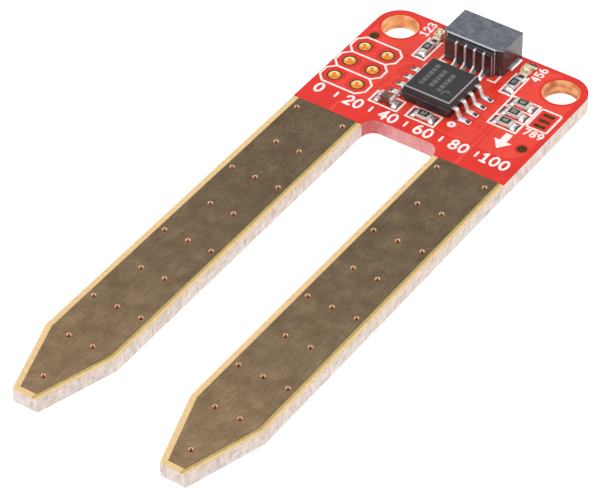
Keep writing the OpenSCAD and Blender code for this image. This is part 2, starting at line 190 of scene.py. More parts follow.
def rounded_rectangle(low_x, low_y, high_x, high_y, radius, steps=8):
    """A rectangle with round corners, each turned in the given number of steps."""
    points = []
    corners = [(high_x, high_y, 0), (low_x, high_y, 90), (low_x, low_y, 180), (high_x, low_y, 270)]
    for x, y, turn in corners:
        cx = x - math.copysign(radius, x - (low_x + high_x) / 2)
        cy = y - math.copysign(radius, y - (low_y + high_y) / 2)
        for i in range(steps + 1):
            angle = math.radians(turn + 90 * i / steps)
            points.append((cx + radius * math.cos(angle), cy + radius * math.sin(angle)))
    return points


def disc(x, y, radius, steps=32):
    turns = [2 * math.pi * i / steps for i in range(steps)]
    return [(x + radius * math.cos(a), y + radius * math.sin(a)) for a in turns]


def grown(box, gap):
    return rectangle(box[0].x - gap, box[0].y - gap, box[1].x + gap, box[1].y + gap)


def ribbon(points, width, closed=False):
    """The outlines of a pen line of the given width along points, with round ends and joints."""
    outlines = [disc(x, y, width / 2, 12) for x, y in points]
    pairs = list(zip(points, points[1:]))
    if closed:
        pairs.append((points[-1], points[0]))
    for (ax, ay), (bx, by) in pairs:
        length = math.hypot(bx - ax, by - ay)
        if length < 1e-4:
            continue
        nx, ny = (ay - by) / length * width / 2, (bx - ax) / length * width / 2
        start = [(ax + nx, ay + ny), (ax - nx, ay - ny)]
        outlines.append(start + [(bx - nx, by - ny), (bx + nx, by + ny)])
    return outlines


def counter_clockwise(outline):
    area = sum(a[0] * b[1] - b[0] * a[1] for a, b in zip(outline, outline[1:] + outline[:1]))
    return outline if area > 0 else outline[::-1]


def flat_shape(add, cut=()):
    """Joins the outlines of add, takes away those of cut, and returns (points, triangles)."""
    points = []
    faces = []
    for outline in list(add) + list(cut):
        outline = counter_clockwise(outline)
        faces.append(list(range(len(points), len(points) + len(outline))))
        points += [Vector(p) for p in outline]
    made = delaunay_2d_cdt(points, [], faces, 0, 1e-5, True)
    corners, triangles, sources = made[0], made[2], made[5]
    kept = []
    for triangle, inside in zip(triangles, sources):
        if any(i < len(add) for i in inside) and not any(i >= len(add) for i in inside):
            kept.append(triangle)
    return corners, kept


def slab(name, add, cut, low_z, high_z):
    """A closed plate of a flat shape between two heights, in millimetres."""
    corners, triangles = flat_shape(add, cut)
    bm = bmesh.new()
    low = {}
    high = {}
    for triangle in triangles:
        for i in triangle:
            if i not in low:
                low[i] = bm.verts.new((corners[i].x * MM, corners[i].y * MM, low_z * MM))
                high[i] = bm.verts.new((corners[i].x * MM, corners[i].y * MM, high_z * MM))
    used = {}
    for triangle in triangles:
        bm.faces.new([high[i] for i in triangle])
        bm.faces.new([low[i] for i in reversed(triangle)])
        for a, b in zip(triangle, triangle[1:] + triangle[:1]):
            used[(a, b)] = True
    for a, b in used:
        if (b, a) not in used:
            bm.faces.new([low[a], low[b], high[b], high[a]])
    bmesh.ops.dissolve_limit(bm, angle_limit=math.radians(0.5), verts=bm.verts, edges=bm.edges)
    bmesh.ops.triangulate(bm, faces=[f for f in bm.faces if len(f.verts) > 4])
    return new_object(name, bm)


# ---- material helpers


def linear(colour):
    """A screen colour of three values from 0 to 255 as the linear colour that a shader takes."""
    shares = [value / 255 for value in colour]
    return [s / 12.92 if s <= 0.04045 else ((s + 0.055) / 1.055) ** 2.4 for s in shares] + [1]


class Finish:
    """A principled material and short ways to add procedural nodes to it.

    Coordinates are the object's own, in millimetres, so every piece shares one scale. Colours
    are (red, green, blue) on screen, from 0 to 255, or the output of a node."""

    def __init__(self, name, roughness=0.5, metallic=0.0, **sockets):
        self.material = bpy.data.materials.new(name)
        self.material.use_nodes = True
        self.nodes = self.material.node_tree.nodes
        self.links = self.material.node_tree.links
        self.shader = self.nodes["Principled BSDF"]
        for socket, value in dict(sockets, Roughness=roughness, Metallic=metallic).items():
            self.shader.inputs[socket.replace("_", " ")].default_value = value
        coordinates = self.nodes.new("ShaderNodeTexCoord").outputs["Object"]
        self.place = self.node("Mapping", {"Vector": coordinates, "Scale": [1 / MM] * 3}).outputs[0]

    def node(self, kind, inputs, **settings):
        """A new node with its inputs, each a value or an output, and its settings."""
        node = self.nodes.new("ShaderNode" + kind)
        for setting, value in settings.items():
            setattr(node, setting, value)
        for socket, value in inputs.items():
            if hasattr(value, "links"):
                self.links.new(value, node.inputs[socket])
            else:
                node.inputs[socket].default_value = value
        return node

    def stretched(self, scale, turn=(0, 0, 0)):
        """Coordinates in millimetres, turned and then scaled along each axis."""
        inputs = {"Vector": self.place, "Scale": scale, "Rotation": [math.radians(a) for a in turn]}
        return self.node("Mapping", inputs).outputs[0]

    def noise(self, scale, detail=3.0, vector=None, distortion=0.0, roughness=0.5):
        inputs = {"Scale": scale, "Detail": detail, "Roughness": roughness, "Distortion": distortion}
        return self.node("TexNoise", dict(inputs, Vector=vector or self.place)).outputs["Fac"]

    def ramp(self, source, *stops):
        """Maps 0 to 1 onto the given (place, colour or number) stops."""
        node = self.node("ValToRGB", {"Fac": source})
        elements = node.color_ramp.elements
        while len(elements) < len(stops):
            elements.new(0.5)
        for element, (position, value) in zip(elements, stops):
            element.position = position
            element.color = linear(value) if hasattr(value, "__len__") else (value, value, value, 1)
        return node.outputs["Color"]

    def mix_colours(self, share, first, second):
        colours = [linear(c) if hasattr(c, "__len__") else c for c in (first, second)]
        inputs = {0: share, 6: colours[0], 7: colours[1]}
        return self.node("Mix", inputs, data_type="RGBA").outputs[2]

    def math(self, kind, first, second=0.0):
        return self.node("Math", {0: first, 1: second}, operation=kind).outputs[0]

    def both(self, first, second):
        return self.math("MULTIPLY", first, second)

    def apart(self, first, second):
        return self.math("ABSOLUTE", self.math("SUBTRACT", first, second))

    def parts(self, vector):
        """The X, Y and Z parts of a vector."""
        return self.node("SeparateXYZ", {0: vector}).outputs

    def position(self):
        return self.parts(self.place)

    def normal(self):
        return self.parts(self.nodes.new("ShaderNodeNewGeometry").outputs["Normal"])

    def towards(self, direction):
        """How far the surface faces a direction of the frame, from -1 to 1."""
        normal = self.nodes.new("ShaderNodeNewGeometry").outputs["Normal"]
        node = self.node("VectorMath", {0: normal, 1: direction}, operation="DOT_PRODUCT")
        return node.outputs["Value"]

    def away_from(self, x, y):
        """The distance from an upright line at (x, y), in millimetres."""
        place = self.position()
        flat = self.node("CombineXYZ", {0: place[0], 1: place[1]}).outputs[0]
        node = self.node("VectorMath", {0: flat, 1: (x, y, 0)}, operation="DISTANCE")
        return node.outputs["Value"]

    def colour(self, output):
        self.links.new(output, self.shader.inputs["Base Color"])

    def roughness(self, output):
        self.links.new(output, self.shader.inputs["Roughness"])

    def bump(self, height, depth, strength=1.0):
        """Bumps of the given depth in millimetres."""
        node = self.node("Bump", {"Strength": strength, "Distance": depth * MM, "Height": height})
        self.links.new(node.outputs["Normal"], self.shader.inputs["Normal"])


# ---- materials


def speckled(name, dark, light, scale, roughness, metallic=0.0, bump=0.0, bump_scale=None, spread=0.2):
    """A material whose colour drifts between two colours, with an even fine grain."""
    finish = Finish(name, roughness, metallic)
    drift = finish.noise(scale)
    finish.colour(finish.ramp(drift, (0.5 - spread, dark), (0.5 + spread, light)))
    if bump:
        finish.bump(finish.noise(bump_scale or scale * 6, 4), bump)
    return finish.material


def mask_material(name, dark, light):
    """Glossy red solder mask, with slight drifts of tone and the faint ripple of a cured coat."""
    finish = Finish(name, 0.3, Specular_IOR_Level=0.32, Coat_Weight=0.08, Coat_Roughness=0.15)
    drift = finish.noise(0.45, 4)
    fine = finish.noise(9, 2)
    tone = finish.math("ADD", finish.both(drift, 0.8), finish.both(fine, 0.2))
    finish.colour(finish.ramp(tone, (0.32, dark), (0.68, light)))
    finish.roughness(finish.ramp(finish.noise(2.2, 3), (0.3, 0.2), (0.7, 0.32)))
    finish.bump(finish.noise(3.2, 2), 0.004)
    return finish.material


def fibreglass_material():
    """Milled glass-epoxy board: tan faces, pale fibrous side walls, painted pink light under the mask
    that is painted darker towards the slot's left corner as painted shade, and a painted amber glow in
    the mounting holes.
    """
    finish = Finish("fibreglass_edge", 0.62)
    x, y = finish.position()[:2]
    upright = finish.math("ABSOLUTE", finish.normal()[2])
    weave = finish.noise(1.0, 4, finish.stretched((6, 6, 1)))
    face = finish.ramp(weave, (0.3, (208, 172, 118)), (0.7, (232, 200, 148)))
    olive = finish.ramp(weave, (0.3, (162, 142, 84)), (0.7, (190, 168, 104)))
    strip_w = 0.3
    slot_x = 3.9
    for node in ("left_electrode_top", "right_electrode_top"):
        low, high = box_mm(node)
        corners = [v.co / MM for v in frame["nodes"][node].data.vertices]
        shoulder_y = min(v.y for v in corners if v.x > high.x - 0.01)
        tip_x = max(v.x for v in corners if v.y < low.y + 0.01)
        lean = math.atan2(high.x - tip_x, shoulder_y - low.y)
        past_side = finish.math("SUBTRACT", x, high.x)
        below = finish.math("SUBTRACT", shoulder_y, y)
        sideways = finish.both(past_side, math.cos(lean))
        past_taper = finish.math("ADD", sideways, finish.both(below, math.sin(lean)))
        past = finish.math("MAXIMUM", past_side, past_taper)
        beside = finish.math("GREATER_THAN", past, -0.05)
        beside = finish.both(beside, finish.math("LESS_THAN", past, strip_w))
        near = finish.math("LESS_THAN", past_side, strip_w)
        right_half = finish.math("GREATER_THAN", x, tip_x - 0.1)
        face = finish.mix_colours(finish.both(finish.both(beside, near), right_half), face, olive)
    layers = finish.noise(1.0, 3, finish.stretched((0.7, 0.7, 9)))
    milling = finish.noise(1.0, 3, finish.stretched((2.6, 2.6, 1.1), (28, 28, 0)))
    streaks = finish.math("ADD", finish.both(layers, 0.5), finish.both(milling, 0.5))
    fibres = (0.34, (176, 156, 142)), (0.47, (208, 192, 182)), (0.62, (226, 214, 206))
    wall = finish.ramp(streaks, *fibres)
    under_mask = finish.math("GREATER_THAN", y, mask_end_y)
    # Painted light and shade: the slot's end wall under the mask is painted a pink glow of light through
    # the red mask, and painted darker towards the slot's left corner as painted shade.
    lit_pink = finish.ramp(streaks, (0.35, (202, 122, 120)), (0.65, (226, 160, 158)))
    shaded_pink = finish.ramp(streaks, (0.35, (178, 70, 70)), (0.65, (214, 112, 110)))
    lit_w = 2.6
    across = finish.math("DIVIDE", finish.math("ADD", x, slot_x), lit_w)
    pink = finish.mix_colours(finish.ramp(across, (0.25, 0.0), (1.0, 1.0)), shaded_pink, lit_pink)
    slot_top_y = mask_end_y + 3
    between = finish.math("LESS_THAN", finish.math("ABSOLUTE", x), slot_x + 0.3)
    beside_slot = finish.both(between, finish.math("LESS_THAN", y, slot_top_y))
    wall = finish.mix_colours(finish.both(under_mask, beside_slot), wall, pink)
    surface = finish.mix_colours(finish.math("GREATER_THAN", upright, 0.5), wall, face)
    # Painted light: the mounting hole walls, and a thin ring of the face round each hole, are painted a
    # bright amber glow of light through the fibreglass, a little darker in the right hole.
    for side, tones in (
        (-1, ((196, 130, 76), (232, 156, 92), (246, 192, 132))),
        (1, ((176, 106, 60), (216, 136, 80), (242, 184, 126))),
    ):
        cloud = finish.noise(0.8, 3, finish.stretched((1, 1, 1.6)))
        amber_glow = finish.ramp(cloud, *zip((0.34, 0.48, 0.62), tones))
        in_hole = finish.math("LESS_THAN", finish.away_from(side * hole_x, 0), hole_r + 0.2)
        surface = finish.mix_colours(in_hole, surface, amber_glow)
    finish.colour(surface)
    finish.bump(streaks, 0.05, 0.7)
    return finish.material


def electrode_material():
    """Thin gold, painted a dull brown that grows lighter towards the tips as a painted reflection of a
    dark surrounding, with fine scratches and faint polishing swirls.
    """
    finish = Finish("gold_electrode_dark_reflection", 0.4, 1.0)
    y = finish.position()[1]
    blotches = finish.noise(0.5, 6, distortion=0.3, roughness=0.66)
    grain = finish.noise(7, 3, roughness=0.6)
    scratch = finish.noise(1.0, 3, finish.stretched((7, 0.9, 1), (0, 0, -38)))
    tone = finish.math("ADD", finish.both(blotches, 0.5), finish.both(scratch, 0.2))
    tone = finish.math("ADD", tone, finish.both(grain, 0.3))
    swirls = (-8.7, -17.0, 3.6, 0.42), (-6.4, -22.6, 3.0, 0.38), (8.9, -22.0, 2.6, 0.4)
    for x, swirl_y, reach, ring in swirls:
        away = finish.away_from(x, swirl_y)
        wobble = finish.math("ADD", away, finish.both(finish.noise(0.7, 3), 1.6))
        rings = finish.math("SINE", finish.both(wobble, 2 * math.pi / ring))
        fade = finish.ramp(finish.math("DIVIDE", away, reach), (0.2, 0.055), (1.0, 0.0))
        tone = finish.math("ADD", tone, finish.both(rings, fade))
    # Painted reflection: the gold is painted a dull brown, lighter at the tips than at the head.
    head = finish.ramp(tone, (0.36, (102, 86, 66)), (0.5, (120, 102, 80)), (0.64, (142, 124, 98)))
    tips = finish.ramp(tone, (0.36, (128, 105, 81)), (0.5, (148, 123, 95)), (0.64, (170, 146, 114)))
    along = finish.math("DIVIDE", finish.math("SUBTRACT", y, mask_end_y), board[0].y - mask_end_y)
    finish.colour(finish.mix_colours(finish.ramp(along, (0.3, 0.0), (1.0, 1.0)), head, tips))
    finish.roughness(finish.ramp(finish.noise(2.4, 4), (0.3, 0.34), (0.7, 0.5)))
    finish.bump(scratch, 0.01, 0.5)
    return finish.material


def plated_material(name, barrel, flat, highlight_tint, reach, metallic, shine=0.0):
    """Plated holes: level faces painted the flat colours, dark on the hole rings as a painted
    reflection, warm barrels, and two pale painted highlights, glowing by shine, under each far rim where
    the wall faces the front right.

    barrel and flat are (dark, light) pairs, and reach is how deep the painted highlights go, in
    millimetres."""
    finish = Finish(name, 0.34, metallic)
    level = finish.math("ABSOLUTE", finish.normal()[2])
    drift = finish.noise(2.5, 4)
    wall = finish.ramp(drift, (0.3, barrel[0]), (0.7, barrel[1]))
    # Painted highlight: a pale colour, glowing by shine, on the upper barrel walls that face the front
    # right.
    front_right = (0.59, -0.81, 0)
    highlight_sides = finish.ramp(finish.towards(front_right), (0.5, 0.0), (0.7, 1.0), (0.9, 1.0), (0.96, 0.0))
    depth = finish.math("DIVIDE", finish.math("SUBTRACT", top_z, finish.position()[2]), reach)
    shallow = finish.ramp(depth, (0.6, 1.0), (1.0, 0.0))
    painted_highlights = finish.both(highlight_sides, shallow)
    wall = finish.mix_colours(painted_highlights, wall, highlight_tint)
    if shine:
        finish.shader.inputs["Emission Color"].default_value = linear(highlight_tint)
        finish.links.new(finish.both(painted_highlights, shine), finish.shader.inputs["Emission Strength"])
    # Level faces take the flat colours; on the hole rings these are dark, a painted reflection.
    painted_level_faces = finish.ramp(drift, (0.3, flat[0]), (0.7, flat[1]))
    finish.colour(finish.mix_colours(finish.ramp(level, (0.9, 0.0), (0.98, 1.0)), wall, painted_level_faces))
    finish.bump(finish.noise(7, 3), 0.006)
    return finish.material


def tin_material(name, dark, light, flat, roughness, depth, metallic=1.0):
    """Tin or solder, whose level faces are painted the colour flat as a painted reflection of a dark
    surrounding, or None to keep them bright.
    """
    finish = Finish(name, roughness, metallic)
    tone = finish.ramp(finish.noise(2.4, 3), (0.3, dark), (0.7, light))
    if flat:
        # Painted reflection: level faces take the colour flat.
        level = finish.ramp(finish.normal()[2], (0.84, 0.0), (0.94, 1.0))
        tone = finish.mix_colours(level, tone, flat)
    finish.colour(tone)
    smooth, rough = roughness * 0.7, roughness * 1.4
    finish.roughness(finish.ramp(finish.noise(5, 3), (0.3, smooth), (0.7, rough)))
    finish.bump(finish.noise(4, 2), depth)
    return finish.material


def epoxy_material():
    """Black moulding, with painted highlights as thin pale lines along its bevelled top edges, a thin
    pale line along its parting line, and walls painted lighter and redder than the top as a painted
    reflection of the red board.
    """
    finish = Finish("moulded_epoxy", 0.42)
    crown_z = box_mm("controller_body")[1].z
    lead_t = 0.2
    parting_z = box_mm("controller_leads")[1].z - lead_t / 2
    edge_h = 0.13
    grain = finish.noise(1.2, 4)
    facing = finish.normal()[2]
    height = finish.position()[2]
    top = finish.ramp(grain, (0.3, (27, 27, 29)), (0.7, (37, 36, 39)))
    # Painted reflection: the walls take a lighter, redder tone than the top, from the red board.
    side = finish.ramp(grain, (0.3, (34, 30, 32)), (0.7, (46, 41, 44)))
    colour = finish.mix_colours(finish.ramp(facing, (0.5, 0.0), (0.9, 1.0)), side, top)
    # Painted highlight: pale lines on the bevels along the top edges.
    near_top = finish.math("GREATER_THAN", height, crown_z - edge_h)
    bevel = finish.ramp(facing, (0.4, 0.0), (0.55, 1.0), (0.86, 1.0), (0.95, 0.0))
    colour = finish.mix_colours(finish.both(near_top, bevel), colour, (146, 146, 148))
    line = finish.ramp(finish.apart(height, parting_z), (0.03, 0.75), (0.055, 0.0))
    outside = finish.math("LESS_THAN", facing, 0.4)
    colour = finish.mix_colours(finish.both(line, outside), colour, (110, 102, 106))
    finish.colour(colour)
    finish.bump(finish.noise(22, 4), 0.008)
    return finish.material


def socket_material():
    """Glossy dark moulding with faint flow marks. Its top is painted a lighter blue-grey as a painted
    reflection of the lights, and its walls and lower faces are painted darker and redder as painted
    shade and a painted reflection of the red board. Painted highlights lie on its rear top edges and on
    the step's side edges.
    """
    finish = Finish("socket_moulding", 0.3, Coat_Weight=0.5, Coat_Roughness=0.12)
    flow = finish.noise(1.0, 4, finish.stretched((0.9, 0.9, 0.9), (0, 0, 25)), distortion=1.6)
    # Painted reflection and shade: a lighter blue-grey top, and darker, redder walls and lower faces.
    top = finish.ramp(flow, (0.36, (70, 74, 82)), (0.64, (98, 101, 112)))
    side = finish.ramp(flow, (0.34, (40, 36, 38)), (0.66, (58, 53, 57)))
    low, high = box_mm("socket_housing")
    edge_h = 0.2
    edge_w = 0.07
    place = finish.position()
    upper = finish.math("GREATER_THAN", place[2], high.z - edge_h)
    level = finish.ramp(finish.normal()[2], (0.3, 0.0), (0.7, 1.0))
    colour = finish.mix_colours(finish.both(level, upper), side, top)
    # Painted highlight: pale colour on the rounded rear top edges.
    bevel = finish.ramp(finish.normal()[2], (0.3, 0.0), (0.5, 1.0), (0.84, 1.0), (0.94, 0.0))
    rearward = finish.math("LESS_THAN", finish.normal()[1], -0.3)
    rear_edge_highlight = finish.both(finish.both(bevel, rearward), upper)
    colour = finish.mix_colours(rear_edge_highlight, colour, (172, 174, 182))
    corners = [v.co / MM for v in frame["nodes"]["socket_housing"].data.vertices]
    step = [corner for corner in corners if corner.y < low.y + 0.01]
    # Painted highlight: pale lines down the step's two side edges.
    for edge_x, side_x in ((min(v.x for v in step), -1), (max(v.x for v in step), 1)):
        beside = finish.math("LESS_THAN", finish.apart(place[0], edge_x), edge_w)
        facing = finish.towards((side_x * 0.71, -0.71, 0))
        step_edge_highlight = finish.ramp(facing, (0.78, 0.0), (0.86, 1.0))
        colour = finish.mix_colours(finish.both(beside, step_edge_highlight), colour, (206, 172, 168))
    finish.colour(colour)
    finish.roughness(finish.ramp(finish.noise(1.4, 3), (0.3, 0.24), (0.7, 0.36)))
    finish.bump(finish.noise(14, 3), 0.004)
    return finish.material


def lens_material():
    """Clear greenish-cream resin over a light's white base, with random dark and near-white clouds that
    are painted reflections in the resin.
    """
    finish = Finish("clear_resin", 0.16, Transmission_Weight=0.1, IOR=1.5)
    cloud = finish.noise(3.2, 3)
    # Painted reflections: random dark and near-white clouds in the resin.
    finish.colour(finish.ramp(
        cloud, (0.36, (142, 122, 74)), (0.46, (222, 206, 160)), (0.62, (252, 244, 222)),
    ))
    finish.bump(finish.noise(5, 2), 0.008)
    return finish.material


MATERIALS = {
    "fibreglass": fibreglass_material(),
    "red_mask": mask_material("red_solder_mask", (206, 32, 22), (222, 42, 30)),
    "mask_on_copper": mask_material("red_mask_over_copper", (216, 50, 36), (230, 66, 50)),
    "pour_copper": speckled("sealed_copper", (176, 112, 72), (206, 140, 96), 0.8, 0.4, 1.0, 0.006),
    "electrode_gold": electrode_material(),
    # The hole rings' dark flat colours are painted reflections, and each third colour is a painted
    # highlight.
    "bright_gold": plated_material(
        "bright_gold_plate", ((246, 178, 62), (255, 208, 100)),
        ((52, 40, 14), (84, 66, 28)), (255, 250, 230), 0.46, 0.3, 0.22,
    ),
    "barrel_gold": plated_material(
        "pale_gold_barrel", ((166, 110, 66), (200, 140, 92)),
        ((112, 90, 66), (134, 110, 84)), (255, 222, 188), 0.34, 0.2, 0.36,
    ),
    "light_end_gold": plated_material(
        "pale_gold_end", ((214, 196, 146), (244, 234, 204)),
        ((226, 214, 176), (246, 240, 222)), (250, 244, 226), 0.3, 0.3,
    ),
    # Painted reflection: the flat metal of the alignment marks and jumper strips is painted dark brown,
    # a painted reflection of a dark surrounding.
    "bare_copper": speckled("dark_reflecting_pads", (70, 54, 30), (98, 80, 48), 2.5, 0.42, 1.0, 0.006),
    "white_ink": speckled("white_ink", (236, 214, 208), (250, 240, 236), 3, 0.62, 0, 0.01, 11),
    "chip_epoxy": epoxy_material(),
    "chip_marking": speckled("laser_marking", (78, 78, 77), (108, 108, 105), 5, 0.7, 0, 0.006, 20),
    "silicon": speckled("silicon_die", (98, 104, 116), (126, 130, 140), 2, 0.12, 0.4),
    "tin_plate": tin_material("tin_plate", (196, 194, 190), (252, 252, 250), None, 0.28, 0.004, 0.85),
    # Solder's level faces are painted dark maroon, a painted reflection of a dark surrounding and the
    # red board.
    "solder": tin_material(
        "bright_solder", (232, 232, 230), (254, 254, 252), (76, 54, 58), 0.24, 0.003, 0.7,
    ),
    "contact_tin": tin_material("contact_tin", (206, 190, 188), (240, 232, 230), None, 0.34, 0.003, 0.5),
    "socket_plastic": socket_material(),
    "led_base": speckled("light_base", (222, 214, 188), (240, 234, 214), 3, 0.5, 0, 0.006),
    "led_lens": lens_material(),
    "led_die": speckled("light_die", (206, 186, 96), (228, 212, 136), 6, 0.2),
    "ceramic": speckled("alumina", (214, 214, 210), (240, 240, 236), 4, 0.4, 0, 0.006),
    "resistor_glass": speckled("resistor_glaze", (22, 22, 22), (40, 40, 40), 2.6, 0.26, 0, 0.006),
    "resistor_patch": speckled(
        "resistor_patch", (92, 96, 90), (140, 144, 134), 3.4, 0.3, 0, 0.006, None, 0.12,
    ),
    "capacitor_ceramic": speckled("fired_ceramic", (84, 56, 50), (122, 88, 78), 3, 0.36, 0, 0.01),
}

# Every CAD node starts with the finish of its record slot; pieces below replace some of them
for subpart in frame["record"]["subparts"]:
    node = frame["nodes"][subpart["node"]]
    node.data.materials.clear()
    node.data.materials.append(MATERIALS[subpart["material_slot"]])
for name in ("alignment_marks", "jumper_strips"):
    frame["nodes"][name].data.materials[0] = MATERIALS["bare_copper"]

# ---- printed and etched relief

RELIEF = 0.02
INK = 0.03
LINE = 0.2
SINK = 0.02
copper_low_y = -10.95
copper_margin = 0.55
pad_gap = 0.2
eyelet_gap_r = 1.12
mark_gap_r = 0.72
left_track = (-7.4, -12.3)
right_track = (6.22, -7.2)
track_w = 0.34
groove = 0.13
ridge_w = 0.18
ridge_groove = 0.09


def mask_over_copper():
    """The mask stands a little higher where copper lies under it."""
    low_x, high_x = board[0].x + copper_margin, board[1].x - copper_margin
    area = [rounded_rectangle(low_x, copper_low_y, high_x, back_y - copper_margin, hole_r + 0.3)]
    for x, end_y in (left_track, right_track):
        area.append(rectangle(x - track_w / 2, mask_end_y, x + track_w / 2, end_y))
    gaps = [grown(box, pad_gap) for boxes in pads.values() for box in boxes]
    gaps += [disc(middle(box).x, middle(box).y, eyelet_gap_r) for box in header_holes]
    gaps += [disc(x, 0, hole_r + 0.38, 64) for x in (-hole_x, hole_x)]
    gaps += [disc(middle(box).x, middle(box).y, mark_gap_r) for box in islands("alignment_marks")]
    for side in (-1, 1):
        x = right_track[0] + side * (track_w + groove) / 2
        gaps.append(rectangle(x - groove / 2, copper_low_y - 0.2, x + groove / 2, -7.6))
    tracks = raised_tracks()
    grooves = [outline for track in tracks for outline in ribbon(track, ridge_w + 2 * ridge_groove)]
    ridges = [outline for track in tracks for outline in ribbon(track, ridge_w)]
    shapes = {"mask_over_copper": (area, gaps + grooves), "mask_over_tracks": (ridges, gaps)}
    for name, (add, cut) in shapes.items():
        obj = slab(name, add, cut, top_z - SINK, top_z + RELIEF)
        finish_piece(obj, "red_mask", "mask_on_copper")


def raised_tracks():
    """Short tracks from the controller's leads, each a low ridge in a groove of the mask."""
    ridges = []
    lead_rows = sorted({round(middle(b).y, 3) for b in pads["controller_pads"]}, reverse=True)
    for i, y in enumerate(lead_rows):
        turn_x = -5.05 - 0.24 * i
        bend = [(turn_x + 0.2, y), (turn_x, y - 0.2), (turn_x, y - 0.62), (turn_x - 0.3, y - 0.92)]
        ridges.append([(-4.6, y)] + bend)
        ridges.append([(4.7, y), (5.0 + 0.1 * i, y), (5.3, y + 0.3 - 0.1 * i)])
    ridges.append([(2.75, -2.05), (3.3, -2.6), (3.3, -3.2), (3.7, -3.6)])
    ridges.append([(3.1, -1.75), (3.65, -2.3), (3.65, -2.85), (4.2, -3.4), (4.2, -3.9)])
    ridges.append([(-5.9, -3.35), (-4.75, -3.35), (-4.3, -3.8)])
    return ridges


def arc(cx, cy, rx, ry, start, end, steps=12):
    """Points on an ellipse from one angle to another, in degrees."""
    turns = [math.radians(start + (end - start) * i / steps) for i in range(steps + 1)]
    return [(cx + rx * math.cos(a), cy + ry * math.sin(a)) for a in turns]


# Pen strokes of the digits in a box 0.6 wide and 1 high
DIGITS = {
    "0": [arc(0.3, 0.5, 0.28, 0.48, 0, 360, 20)],
    "1": [[(0.1, 0.78), (0.34, 0.98), (0.34, 0.02)], [(0.12, 0.02), (0.56, 0.02)]],
    "2": [arc(0.3, 0.7, 0.26, 0.28, 165, -35) + [(0.04, 0.02), (0.58, 0.02)]],
    "3": [arc(0.28, 0.74, 0.25, 0.24, 150, -90) + arc(0.28, 0.26, 0.29, 0.24, 90, -150)],
    "4": [[(0.46, 0.02), (0.46, 0.98), (0.04, 0.32), (0.6, 0.32)]],
    "5": [[(0.54, 0.98), (0.1, 0.98), (0.07, 0.55)] + arc(0.28, 0.32, 0.28, 0.3, 120, -145)],
    "6": [arc(0.44, 0.3, 0.4, 0.68, 105, 180) + arc(0.31, 0.3, 0.27, 0.28, 180, -180, 18)],
    "7": [[(0.04, 0.98), (0.58, 0.98), (0.22, 0.02)]],
    "8": [arc(0.3, 0.75, 0.22, 0.23, 0, 360, 16), arc(0.3, 0.27, 0.27, 0.25, 0, 360, 16)],
    "9": [arc(0.16, 0.7, 0.4, 0.68, -75, 0) + arc(0.29, 0.7, 0.27, 0.28, 0, 360, 18)],
}
DIGIT_W = 0.6


def number(text, x, y, height, pen, turn=0, pitch=0.86):
    """Outlines of a row of digits that starts at (x, y), turned anticlockwise by turn degrees."""
    cos, sin = math.cos(math.radians(turn)), math.sin(math.radians(turn))
    outlines = []
    for i, digit in enumerate(text):
        for stroke in DIGITS[digit]:
            placed = [((px + i * pitch) * height, py * height) for px, py in stroke]
            turned_points = [(x + cos * a - sin * b, y + sin * a + cos * b) for a, b in placed]
            outlines += ribbon(turned_points, pen)
    return outlines


def header_outlines():
    """A chamfered cell round each row of header holes, with shared waist lines."""
    outlines = []
    half_w = header_pitch / 2 + 1.27
    half_h = header_pitch / 2
    chamfer = 0.72
    for row in (-1, 0, 1):
        y = header_centre.y + row * header_pitch
        x = header_centre.x
        cell = [
            (x - half_w + chamfer, y + half_h), (x + half_w - chamfer, y + half_h),
            (x + half_w, y + half_h - chamfer), (x + half_w, y - half_h + chamfer),
            (x + half_w - chamfer, y - half_h), (x - half_w + chamfer, y - half_h),
            (x - half_w, y - half_h + chamfer), (x - half_w, y + half_h - chamfer),
        ]
        outlines += ribbon(cell, LINE, closed=True)
    return outlines


def frame_of(boxes, margin_x, margin_y):
    """The corners of a frame that stands off a group of pads."""
    low_x = min(b[0].x for b in boxes) - margin_x
    low_y = min(b[0].y for b in boxes) - margin_y
    high_x = max(b[1].x for b in boxes) + margin_x
    high_y = max(b[1].y for b in boxes) + margin_y
    return low_x, low_y, high_x, high_y


def pads_near(x, y, reach_x, reach_y):
    def near(pad):
        return abs(middle(pad).x - x) < reach_x and abs(middle(pad).y - y) < reach_y
    return [pad for pad in pads["chip_pads"] if near(pad)]


def part_outlines():
    """Frames round the lights, the chips and the jumper, and corners in front of the socket."""
    outlines = []
    for led in ("power_led_base", "status_led_base"):
        x = middle(box_mm(led)).x
        low_x, low_y, high_x, high_y = frame_of(pads_near(x, -1.6, 0.6, 1.4), 0.16, 0.16)
        outlines += ribbon([(low_x, 0.05), (low_x, low_y), (high_x, low_y), (high_x, 0.05)], LINE)
    column = pads_near(7, -5.1, 1.6, 2.2)
    low_x, low_y, high_x, high_y = frame_of(column, 0.12, 0.22)
    outlines += ribbon(rectangle(low_x, low_y, high_x, high_y), LINE, closed=True)
    rows = sorted({round(middle(b).y, 2) for b in column})
    for below, above in zip(rows, rows[1:]):
        y = (below + above) / 2
        outlines += ribbon([(low_x, y), (high_x, y)], LINE)
    for x in (middle(box_mm("capacitor_body")).x, 0.28):
        group = pads_near(x, -9.97, 1.4, 0.5)
        outlines += ribbon(rectangle(*frame_of(group, 0.14, 0.3)), LINE, closed=True)
    low_x, low_y, high_x, high_y = frame_of(pads["jumper_strips"], 0.46, 0.4)
    outlines += ribbon(rounded_rectangle(low_x, low_y, high_x, high_y, 0.22, 3), LINE, closed=True)
    socket = box_mm("socket_housing")
    for side in (-1, 1):
        x = side * (socket[1].x - 0.15)
        corner_y = socket[0].y - 0.45
        outlines += ribbon([(x, socket[0].y + 1.3), (x, corner_y), (x - side * 0.75, corner_y)], LINE)
    return outlines


